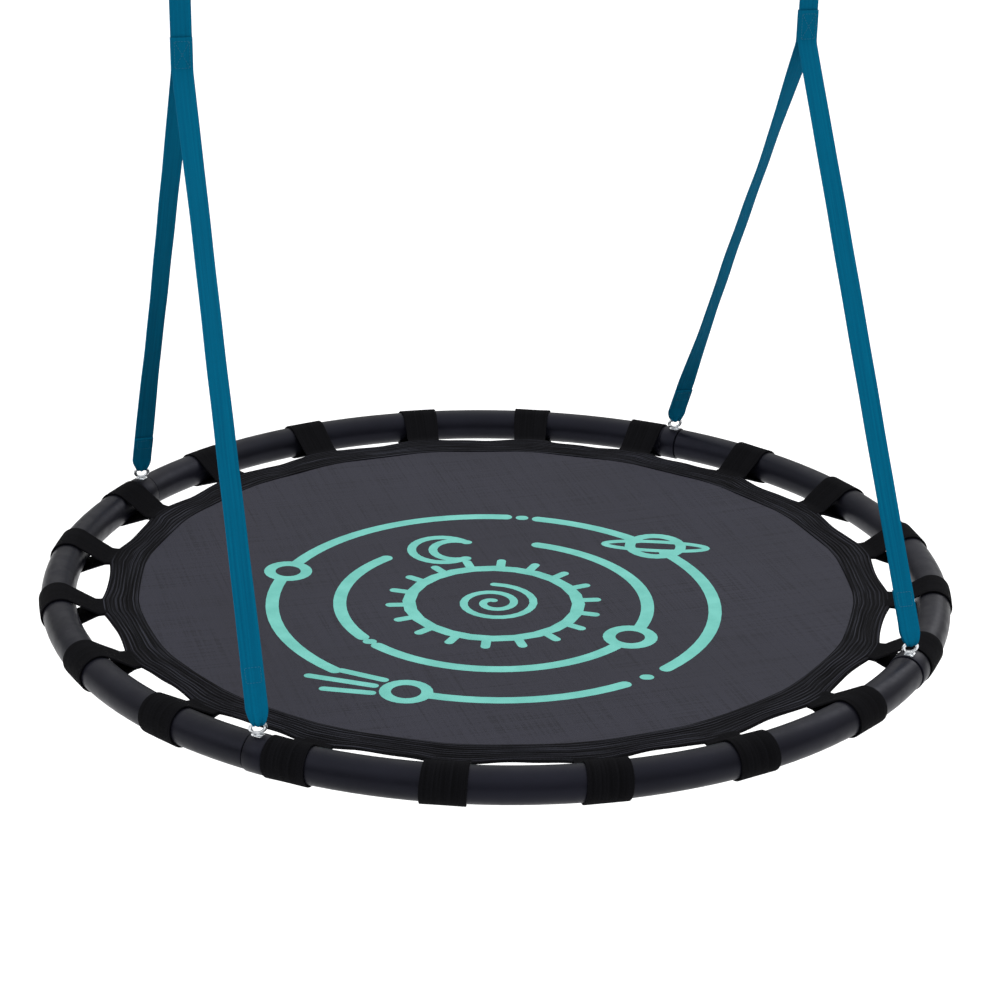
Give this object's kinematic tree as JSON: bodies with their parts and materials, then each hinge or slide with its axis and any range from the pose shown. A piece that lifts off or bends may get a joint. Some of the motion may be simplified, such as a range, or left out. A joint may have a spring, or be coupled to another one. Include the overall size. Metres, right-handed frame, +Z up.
{
  "type": "saucer nest swing",
  "caption": "Round nest swing: a mesh mat laced by webbing loops into a tube ring, hung from carabiners by forked webbing bridles.",
  "frame": {"origin": "midway between the two hang points, at the height where the carabiners bear on the hooks that hold them", "axes": "+Z up, +X to the right along the line of the hang points, +Y to the back, the way the swing swings"},
  "size_m": [1.0246, 1.0246, 0.8658],
  "materials": {
    "coated_steel": "satin dark grey powder coat",
    "zinc_steel": "bright zinc plate",
    "spring_steel": "drawn spring wire",
    "black_webbing": "matt woven black webbing",
    "teal_webbing": "matt woven teal webbing",
    "mat_cloth": "coated mesh cloth, dark grey",
    "hem_cloth": "folded black tape with rows of stitching"
  },
  "bodies": {
    "hangers": {"carabiner_left": "zinc_steel", "carabiner_right": "zinc_steel", "gate_pin_left": "zinc_steel", "gate_pin_right": "zinc_steel"},
    "gate_left": {"gate_left": "zinc_steel", "gate_spring_left": "spring_steel"},
    "gate_right": {"gate_right": "zinc_steel", "gate_spring_right": "spring_steel"},
    "rings": {"d_ring_left": "zinc_steel", "d_ring_right": "zinc_steel"},
    "seat": {"ring_tube_front": "coated_steel", "ring_tube_right": "coated_steel", "ring_tube_back": "coated_steel", "ring_tube_left": "coated_steel", "eye_bolt_front_left": "zinc_steel", "saddle_washer_front_left": "zinc_steel", "captive_nut_front_left": "zinc_steel", "eye_bolt_front_right": "zinc_steel", "saddle_washer_front_right": "zinc_steel", "captive_nut_front_right": "zinc_steel", "eye_bolt_back_right": "zinc_steel", "saddle_washer_back_right": "zinc_steel", "captive_nut_back_right": "zinc_steel", "eye_bolt_back_left": "zinc_steel", "saddle_washer_back_left": "zinc_steel", "captive_nut_back_left": "zinc_steel", "web_loop_01": "black_webbing", "web_loop_02": "black_webbing", "web_loop_03": "black_webbing", "web_loop_04": "black_webbing", "web_loop_05": "black_webbing", "web_loop_06": "black_webbing", "web_loop_07": "black_webbing", "web_loop_08": "black_webbing", "web_loop_09": "black_webbing", "web_loop_10": "black_webbing", "web_loop_11": "black_webbing", "web_loop_12": "black_webbing", "web_loop_13": "black_webbing", "web_loop_14": "black_webbing", "web_loop_15": "black_webbing", "web_loop_16": "black_webbing", "web_loop_17": "black_webbing", "web_loop_18": "black_webbing", "web_loop_19": "black_webbing", "web_loop_20": "black_webbing", "mat_hem": "hem_cloth", "mat_mesh": "mat_cloth", "leg_front_left": "teal_webbing", "leg_back_left": "teal_webbing", "leg_front_right": "teal_webbing", "leg_back_right": "teal_webbing", "riser_left": "teal_webbing", "riser_right": "teal_webbing"}
  },
  "joints": [
    {"name": "gate_left_hinge", "type": "hinge", "parent": "hangers", "child": "gate_left", "pos_m": [-0.341, 0.016, -0.0135], "axis": [-1, 0, 0], "range_deg": [0, 25], "stiffness_Nm_per_rad": 0.3, "springref_deg": -22.92},
    {"name": "gate_right_hinge", "type": "hinge", "parent": "hangers", "child": "gate_right", "pos_m": [0.341, 0.016, -0.0135], "axis": [-1, 0, 0], "range_deg": [0, 25], "stiffness_Nm_per_rad": 0.3, "springref_deg": -22.92},
    {"name": "swing", "type": "hinge", "parent": "hangers", "child": "rings", "pos_m": [0, 0, -0.0607], "axis": [1, 0, 0], "range_deg": [-60, 60]},
    {"name": "strap_pivot", "type": "hinge", "parent": "rings", "child": "seat", "pos_m": [0, 0, -0.0857], "axis": [1, 0, 0], "range_deg": [-20, 20]}
  ]
}
